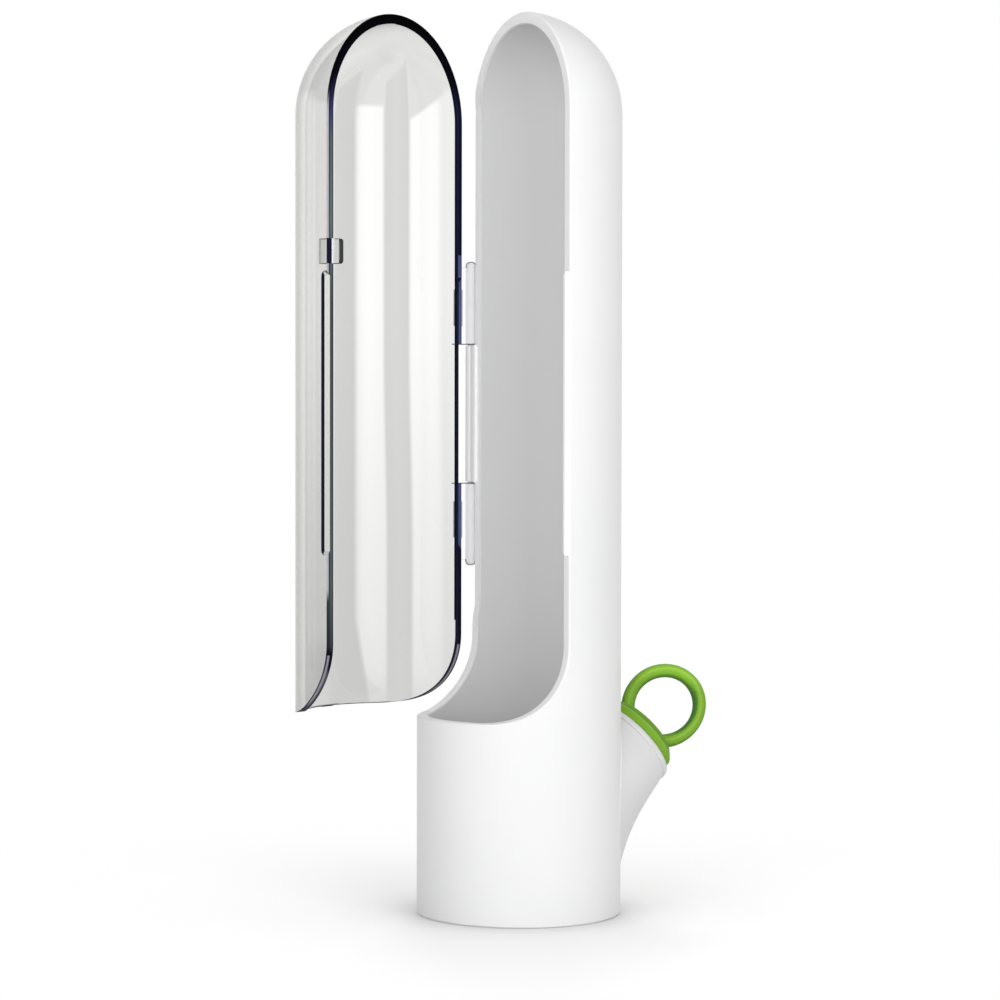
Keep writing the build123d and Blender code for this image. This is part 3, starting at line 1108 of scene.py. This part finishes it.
@dataclass(frozen=True)
class DoorRim:
    """The door wall's cut edge, dark because its light runs off sideways."""

    outline: DoorOutline = DoorOutline()
    # Painted shade along the edge by height, on the free side and then the hinge side, with paler
    # stretches of painted light
    near: Shades = (
        (62.0 * MM, (0.01, 0.01, 0.016)),
        (66.0 * MM, (0.05, 0.05, 0.07)),
        (75.5 * MM, (0.09, 0.09, 0.115)),
        (78.0 * MM, (0.003, 0.003, 0.005)),
        (82.5 * MM, (0.004, 0.005, 0.008)),
        (85.0 * MM, (0.035, 0.04, 0.05)),
        (96.0 * MM, (0.06, 0.075, 0.08)),
        (104.0 * MM, (0.07, 0.09, 0.09)),
        (190.0 * MM, (0.05, 0.06, 0.062)),
        (215.0 * MM, (0.1, 0.135, 0.13)),
        (240.0 * MM, (0.08, 0.1, 0.11)),
        (247.0 * MM, (0.045, 0.052, 0.11)),
        (253.0 * MM, (0.016, 0.018, 0.06)),
        (261.0 * MM, (0.002, 0.002, 0.006)),
        (282.0 * MM, (0.0005, 0.0005, 0.0005)),
    )
    far: Shades = (
        (62.0 * MM, (0.02, 0.02, 0.03)),
        (90.0 * MM, (0.01, 0.012, 0.03)),
        (200.0 * MM, (0.01, 0.012, 0.032)),
        (255.0 * MM, (0.011, 0.012, 0.045)),
        (263.0 * MM, (0.002, 0.002, 0.006)),
        (282.0 * MM, (0.0005, 0.0005, 0.0005)),
    )
    # Painted light and shade by distance from the spine, across the edge
    across: Levels = (
        (29.0 * MM, 0.35),
        (29.4 * MM, 0.5),
        (29.7 * MM, 1.0),
        (30.3 * MM, 0.9),
        (30.7 * MM, 0.4),
        (31.2 * MM, 0.45),
    )
    across_gain: float = 1.35

    # On the hinge side the edge looks a little wider than it is cut
    margin: float = 0.45 * MM
    margin_bottom: float = 90.0 * MM

    # A painted highlight: a pale line along the free side, upright and then down its low curve
    line_painted_highlight: Colour = (0.5, 0.49, 0.56)
    line_start: Span = (98.0 * MM, 103.0 * MM)
    line_end: Span = (249.0 * MM, 256.0 * MM)
    line_reach: Span = (30.95 * MM, 31.25 * MM)
    curve_share: float = 0.6
    curve_start: Span = (64.0 * MM, 68.0 * MM)
    curve_top: float = 82.0 * MM
    curve_inner: Span = (30.2 * MM, 30.5 * MM)
    curve_outer: Span = (31.2 * MM, 31.5 * MM)

    # Beside the latch tongue, painted shade with a painted highlight on its inner part, and above the
    # notch on the hinge side a paler bluish patch of painted shade
    beside_tongue: Colour = (0.012, 0.012, 0.032)
    tongue_painted_highlight: Colour = (0.93, 0.93, 0.94)
    inside_reach: float = 29.7 * MM
    patch_painted_shade: Colour = (0.095, 0.11, 0.25)
    patch_height: float = 7.2 * MM
    patch_reach: float = 30.2 * MM

    def mask(self, at: ShutPlace) -> Wire:
        """1 on the wall's cut edge."""
        o = self.outline
        out = at.y + o.corner_radius
        down = (o.lip_height + o.corner_radius) - at.z
        reach = distance(out.high(0.0), down.high(0.0))
        level = reach + out.high(down).low(0.0) - (o.corner_radius - o.seam)
        margin = (at.x < 0.0) * (at.z > self.margin_bottom) * self.margin + o.hair
        return (level + margin) > 0.0

    def colour(self, paint: Paint, at: ShutPlace) -> bpy.types.NodeSocket:
        """The edge's dark colours, which change along it and across it."""
        o = self.outline
        free_side = at.x > 0.0
        core = paint.blend(free_side, paint.ramp(at.z, self.far), paint.ramp(at.z, self.near))
        toned = paint.tinted(paint.level(at.spine, self.across) * self.across_gain, core)
        upright = free_side * at.z.between(*self.line_start) * (1.0 - at.z.between(*self.line_end))
        line = upright * at.spine.between(*self.line_reach)
        curve = (at.z < self.curve_top) * at.z.between(*self.curve_start)
        curve = curve * at.spine.between(*self.curve_inner) * (1.0 - at.spine.between(*self.curve_outer))
        toned = paint.blend(line.high(curve * self.curve_share), toned, self.line_painted_highlight)
        by_tongue = at.z.within(o.tongue_bottom, o.tongue_bottom + o.tongue_height) * free_side
        toned = paint.blend(by_tongue, toned, self.beside_tongue)
        toned = paint.blend(by_tongue * (at.spine < self.inside_reach), toned, self.tongue_painted_highlight)
        patch = at.z.within(o.notch_top, o.notch_top + self.patch_height)
        patch = (at.x < 0.0) * patch * (at.spine > self.patch_reach)
        return paint.blend(patch, toned, self.patch_painted_shade)


@dataclass(frozen=True)
class DoorNotch:
    """The long notches in the outer half of the door's two edges."""

    outline: DoorOutline = DoorOutline()
    # Painted shade: the notch's cut faces look dark, as the wall's cut edge does
    tone: Colour = (0.012, 0.012, 0.032)
    beyond: float = 2.0 * MM

    def core(self, at: ShutPlace) -> Wire:
        """How far out the wall is left standing behind the notch, which flares out at its ends."""
        o = self.outline
        flare = (o.notch_bottom - at.z).high(at.z - o.notch_top).high(-o.notch_width)
        return flare.low(0.0) + o.radius

    def under_face(self, at: ShutPlace) -> Wire:
        """1 below the wall's outer face."""
        return at.spine < self.outline.radius - self.outline.hair

    def mask(self, at: ShutPlace) -> Wire:
        """1 in the notch of the free side."""
        o = self.outline
        floor = -(o.seam + o.notch_depth) - o.hair
        tall = at.z.within(o.notch_bottom - o.hair, o.notch_top + o.hair)
        deep = (at.spine > self.core(at) + o.hair) * self.under_face(at)
        return (at.y > floor) * tall * deep * (at.x > 0.0)

    def back_wall(self, at: ShutPlace) -> Wire:
        """1 on the wall left standing behind the notch."""
        o = self.outline
        near = (at.spine - self.core(at)).step("ABSOLUTE") < o.hair
        return near * at.z.within(o.notch_bottom, o.notch_top) * self.under_face(at)

    def filled(self, at: ShutPlace) -> Wire:
        """1 in the notch of the hinge side, where the clips' clear feet lie against the wall."""
        o = self.outline
        deep = at.y.within(-(o.seam + o.notch_depth) - o.hair, -o.seam - o.hair)
        tall = at.z.within(o.notch_bottom - self.beyond, o.notch_top + self.beyond)
        out = (at.spine > self.core(at) - o.hair) * self.under_face(at)
        return deep * tall * out * (at.x < 0.0)


@dataclass(frozen=True)
class DoorPlastic(ClearPlastic):
    """The door's tube and dome."""

    bands: DoorPaintedBands = DoorPaintedBands()
    rim: DoorRim = DoorRim()
    notch: DoorNotch = DoorNotch()
    cast: Colour = (1.0, 1.0, 0.985)
    face_depth: float = 0.5 * MM
    # Painted shade: the wall's glass is greyer where it is seen edge on
    silhouette_grey: float = 0.5
    silhouette_span: Span = (0.5, 0.95)
    lip_line: Colour = (0.03, 0.03, 0.045)
    lip_line_height: float = 0.3 * MM
    lip_line_share: float = 0.5
    streak: float = 5.0 * MM
    streak_span: Span = (0.45, 0.55)

    def material(self, name: str) -> bpy.types.Material:
        """Builds the material.

        Args:
            name: The material's name.

        Returns:
            The material.
        """
        paint = Paint.material(name)
        o = self.outline
        at = ShutPlace.read(paint, o)
        outer_face = at.spine > (o.radius - self.face_depth)
        silhouette = paint.grazing().between(*self.silhouette_span) * self.silhouette_grey
        clear = self.bands.clear(paint, at, outer_face) * (1.0 - silhouette)
        glass = self.glass(paint, paint.tinted(clear, self.cast))
        back_wall = self.glass(paint, (1.0, 1.0, 1.0))
        walls = paint.mix(self.notch.back_wall(at), glass, back_wall)
        walls = paint.mix(self.notch.filled(at), walls, self.nothing(paint))
        walls = paint.mix(self.lip_mask(paint, at), walls, self.ink(paint, self.lip_line))
        in_notch = self.notch.mask(at)
        tone = paint.blend(in_notch, self.rim.colour(paint, at), self.notch.tone)
        return paint.finish(paint.mix(self.rim.mask(at).high(in_notch), walls, self.ink(paint, tone)))

    def lip_mask(self, paint: Paint, at: ShutPlace) -> Wire:
        """How dark the thin broken line just over the door's lower edge is."""
        lip = self.outline.lip_height + self.outline.seam
        line = at.z.within(lip + self.outline.hair, lip + self.lip_line_height)
        streaks = paint.noise(paint.place(), self.streak).between(*self.streak_span)
        return line * streaks * self.lip_line_share


@dataclass(frozen=True)
class ClipPlastic(ClearPlastic):
    """The hinge clips: almost white to look through, with thin dark edges, some of them painted shade,
    and a foot of painted shade.
    """

    index: float = 1.05
    tint: Colour = (0.99, 0.99, 0.99)
    milk: Colour = (0.97, 0.97, 0.98)
    milkiness: float = 0.8
    axis: Span = (-34.8 * MM, 1.0 * MM)
    sleeve_radius: float = 1.72 * MM
    line: Colour = (0.09, 0.09, 0.1)
    line_width: float = 0.28 * MM
    # The cap's line is painted shade where the sleeve is seen edge on, and the foot's cut face is
    # painted shade
    cap_height: float = 2.0 * MM
    cap_span: Span = (0.35, 0.55)
    foot_painted_shade: Colour = (0.095, 0.11, 0.25)
    foot_depth: float = 0.2 * MM
    seam_reach: Span = (0.05 * MM, 0.4 * MM)
    seam_from_inner: float = 6.0 * MM
    seam_from_outer: float = 9.0 * MM
    seam_share: float = 0.8

    def material(self, name: str) -> bpy.types.Material:
        """Builds the material.

        Args:
            name: The material's name.

        Returns:
            The material.
        """
        paint = Paint.material(name)
        o = self.outline
        at = ShutPlace.read(paint, o)
        in_notch = at.spine < o.radius - o.hair
        foot = in_notch * (at.y > -(o.seam + self.foot_depth))
        glass = self.glass(paint, self.tint)
        on_sleeve = distance(at.x - self.axis[0], at.y - self.axis[1]) < self.sleeve_radius
        milky = paint.mix(on_sleeve * self.milkiness, glass, self.ink(paint, self.milk))
        milky = paint.mix(in_notch * (1.0 - foot), milky, self.nothing(paint))
        lined = paint.mix(self.lines(paint, at), milky, self.ink(paint, self.line))
        return paint.finish(paint.mix(foot, lined, self.ink(paint, self.foot_painted_shade)))

    def lines(self, paint: Paint, at: ShutPlace) -> Wire:
        """How dark the thin lines are: at the sleeve's inner end, painted shade round its cap where it
        is seen edge on, and at the arm's root.
        """
        o = self.outline
        middle = (o.notch_bottom + o.notch_top) / 2
        height = (at.z - middle).step("ABSOLUTE")
        inner_end = o.clip_bottom - middle
        outer_end = o.sleeve_top - middle
        low_line = height < inner_end + self.line_width
        cap = (height > outer_end - self.cap_height) * paint.grazing().between(*self.cap_span)
        seam = at.spine.within(*(o.radius + reach for reach in self.seam_reach))
        seam = seam * height.within(inner_end + self.seam_from_inner, outer_end - self.seam_from_outer)
        return low_line.high(cap).high(seam * self.seam_share)


@dataclass(frozen=True)
class TonguePlastic(ClearPlastic):
    """The latch tongue: clear, with a rounded end and thin edges painted dark as shade, and a painted
    highlight along the end.
    """

    tint: Colour = (0.95, 0.95, 0.95)
    line: Colour = (0.045, 0.05, 0.05)
    # Painted shade on the end and edges, and a painted highlight for the line along the end
    light: Colour = (0.3, 0.32, 0.31)
    line_width: float = 0.16 * MM
    end_width: float = 0.5 * MM
    light_depth: Span = (0.1 * MM, 0.3 * MM)
    light_margin: float = 1.0 * MM

    def material(self, name: str) -> bpy.types.Material:
        """Builds the material.

        Args:
            name: The material's name.

        Returns:
            The material.
        """
        paint = Paint.material(name)
        o = self.outline
        at = ShutPlace.read(paint, o)
        half = o.tongue_height / 2
        height = (at.z - (o.tongue_bottom + half)).step("ABSOLUTE")
        edges = height > half - self.line_width
        tip = -o.seam + o.tongue_reach
        end = at.y > tip - self.end_width
        near, deep = self.light_depth
        inner_line = at.y.within(tip - deep, tip - near) * (height < half - self.light_margin)
        tone = paint.blend(inner_line, self.line, self.light)
        glass = self.glass(paint, self.tint)
        return paint.finish(paint.mix(edges.high(end), glass, self.ink(paint, tone)))


@dataclass
class Housing:
    """The white shell, its base, its seal and the rod that the door turns on."""

    body: str = "housing"
    shell: ShellPlastic = ShellPlastic()
    white: WhitePlastic = WhitePlastic()
    rod: WhitePlastic = WhitePlastic(tone=(0.88, 0.88, 0.885), shade=(0.86, 0.86, 0.865), roughness=0.3)
    seal: Silicone = Silicone()

    def dress(self) -> list[str]:
        """Gives each piece its finish.

        Returns:
            The pieces' names.
        """
        return put_on(
            {
                "body_shell": self.shell.material("shell_plastic"),
                "base_plate": self.white.material("white_plastic"),
                "hinge_rod": self.rod.material("rod_plastic"),
                "base_seal": self.seal.material("seal_rubber"),
            }
        )


@dataclass
class Door:
    """The clear half tube with its clips and its latch tongue."""

    body: str = "door"
    wall: DoorPlastic = DoorPlastic()
    clip: ClipPlastic = ClipPlastic()
    tongue: TonguePlastic = TonguePlastic()

    def dress(self) -> list[str]:
        """Gives each piece its finish.

        Returns:
            The pieces' names.
        """
        wall = self.wall.material("door_plastic")
        clip = self.clip.material("clip_plastic")
        tongue = self.tongue.material("tongue_plastic")
        return put_on(
            {
                "door_shell": wall,
                "hinge_clip_upper": clip,
                "hinge_clip_lower": clip,
                "latch_tongue": tongue,
            }
        )


@dataclass
class Plug:
    """The soft green plug in the spout."""

    body: str = "plug"
    shape: PlugShape = PlugShape()
    rubber: PlugSilicone = PlugSilicone()

    def dress(self) -> list[str]:
        """Builds the plug and gives it its finish.

        Returns:
            The pieces' names.
        """
        piece = self.shape.build("ring_pull_plug", self.rubber.material("green_silicone"))
        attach(piece, self.body)
        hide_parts("fill_plug")
        return [piece.name]


@dataclass(frozen=True)
class Lamp:
    """A soft square lamp that faces the keeper, with angles in degrees and 0 at the front."""

    name: str
    azimuth: float
    elevation: float
    distance: float
    side: float
    power: float

    def build(self, target: Vector) -> None:
        """Puts the lamp in the scene.

        Args:
            target: The point that it faces.
        """
        data = bpy.data.lights.new(self.name, "AREA")
        data.shape = "SQUARE"
        data.size = self.side
        data.energy = self.power
        lamp = bpy.data.objects.new(self.name, data)
        turn = math.radians(self.azimuth)
        climb = math.radians(self.elevation)
        level = math.cos(climb)
        out = Vector((math.sin(turn) * level, -math.cos(turn) * level, math.sin(climb)))
        lamp.location = target + out * self.distance
        lamp.rotation_euler = out.to_track_quat("Z", "Y").to_euler()
        lamp.visible_glossy = False
        lamp.visible_transmission = False
        bpy.context.scene.collection.objects.link(lamp)


@dataclass(frozen=True)
class Viewpoint:
    """The camera's place, with angles in degrees, for a square picture of 1000 pixels a side."""

    azimuth: float = 61.481
    distance: float = 943.637 * MM
    height: float = 155.473 * MM
    pitch: float = 1.578
    yaw: float = 0.366
    roll: float = 0.101
    focal_pixels: float = 3013.12
    picture_pixels: float = 1000.0
    sensor_width: float = 36.0
    nearest: float = 10.0 * MM
    farthest: float = 50.0

    def build(self) -> None:
        """Puts the camera in the scene and makes it the scene's own."""
        data = bpy.data.cameras.new("camera")
        data.sensor_width = self.sensor_width
        data.lens = self.focal_pixels * self.sensor_width / self.picture_pixels
        data.clip_start = self.nearest
        data.clip_end = self.farthest
        camera = bpy.data.objects.new("camera", data)
        turn = math.radians(self.azimuth)
        camera.location = (self.distance * math.sin(turn), -self.distance * math.cos(turn), self.height)
        heading = math.radians(self.azimuth + self.yaw)
        level = Euler((math.radians(90.0 - self.pitch), 0.0, heading)).to_matrix()
        tilt = Matrix.Rotation(math.radians(self.roll), 3, "Z")
        camera.rotation_euler = (level @ tilt).to_euler()
        bpy.context.scene.collection.objects.link(camera)
        bpy.context.scene.camera = camera


@dataclass
class Studio:
    """The pale floor, the white surround, the lamps and the camera."""

    floor_side: float = 30.0
    floor_tone: Colour = (0.9, 0.9, 0.9)
    floor_roughness: float = 0.9
    floor_drop: float = 0.05 * MM
    floor_lift: float = 0.35
    shadow_fade: Span = (60.0 * MM, 240.0 * MM)
    ambient: float = 0.39
    # Painted contact shadow: the floor's colour darkens towards the keeper's foot
    painted_contact_shadow: Levels = (
        (32.0 * MM, 0.66),
        (38.0 * MM, 0.76),
        (45.0 * MM, 0.85),
        (60.0 * MM, 0.92),
        (90.0 * MM, 0.97),
        (130.0 * MM, 1.0),
    )
    viewpoint: Viewpoint = Viewpoint()
    lamps: tuple[Lamp, ...] = (
        Lamp("right_lamp", azimuth=90.0, elevation=15.0, distance=1.4, side=0.9, power=8.7),
        Lamp("left_lamp", azimuth=37.0, elevation=15.0, distance=1.4, side=0.9, power=6.2),
        Lamp("back_lamp", azimuth=241.0, elevation=30.0, distance=1.4, side=0.5, power=5.0),
    )

    def build(self) -> None:
        """Builds everything round the keeper."""
        self.build_floor()
        self.build_surround()
        middle = (cad_low + cad_high) / 2
        for lamp in self.lamps:
            lamp.build(middle)
        self.viewpoint.build()
        bpy.context.scene.view_settings.view_transform = "Standard"

    def build_floor(self) -> None:
        """A wide flat floor just under the keeper."""
        half = self.floor_side / 2
        corners = [(-half, -half, 0.0), (half, -half, 0.0), (half, half, 0.0), (-half, half, 0.0)]
        mesh = bpy.data.meshes.new("floor")
        mesh.from_pydata(corners, [], [(0, 1, 2, 3)])
        mesh.materials.append(self.floor_material())
        floor = bpy.data.objects.new("floor", mesh)
        floor.location.z = -self.floor_drop
        bpy.context.scene.collection.objects.link(floor)

    def floor_material(self) -> bpy.types.Material:
        """The floor's finish, which keeps the shadow near the keeper, adds a painted contact shadow
        round its foot and is plain white beyond it.

        Returns:
            The material.
        """
        paint = Paint.material("floor")
        part = paint.parts(paint.place())
        reach = distance(part[Axis3.X], part[Axis3.Y])
        away = reach.between(*self.shadow_fade)
        painted_shadow = paint.level(reach, self.painted_contact_shadow)
        seen = paint.seen()
        inputs = {
            "Base Color": paint.tinted(painted_shadow, self.floor_tone),
            "Roughness": self.floor_roughness,
            "Specular IOR Level": 0.0,
        }
        plain = paint.plastic(inputs)
        strength = seen * painted_shadow * self.floor_lift
        lift = paint.node("ShaderNodeEmission", inputs={"Strength": strength}).outputs[0]
        lifted = paint.node("ShaderNodeAddShader", inputs={0: plain, 1: lift}).outputs[0]
        glow = paint.node("ShaderNodeEmission").outputs[0]
        return paint.finish(paint.mix(away * seen, lifted, glow))

    def build_surround(self) -> None:
        """The surround: white to look at, and plain soft light on the keeper."""
        world = bpy.data.worlds.new("surround")
        bpy.context.scene.world = world
        paint = Paint(world)
        white = (1.0, 1.0, 1.0, 1.0)
        light = paint.node("ShaderNodeBackground", inputs={"Color": white, "Strength": self.ambient})
        shown = paint.node("ShaderNodeBackground", inputs={"Color": white, "Strength": 1.0})
        paint.finish(paint.mix(paint.seen(), light.outputs[0], shown.outputs[0]))


def put_on(finishes: dict[str, bpy.types.Material]) -> list[str]:
    """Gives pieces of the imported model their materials.

    Args:
        finishes: Each piece's name and what it is made of.

    Returns:
        The pieces' names.
    """
    for name, material in finishes.items():
        mesh = frame["nodes"][name].data
        mesh.materials.clear()
        mesh.materials.append(material)
    return list(finishes)


def main() -> None:
    """Builds and dresses every sub-assembly in order, and reports each piece."""
    for part in (Housing(), Door(), Plug()):
        for name in part.dress():
            log.info("%s rides on %s", name, part.body)
    Studio().build()


if __name__ == "__main__":
    main()
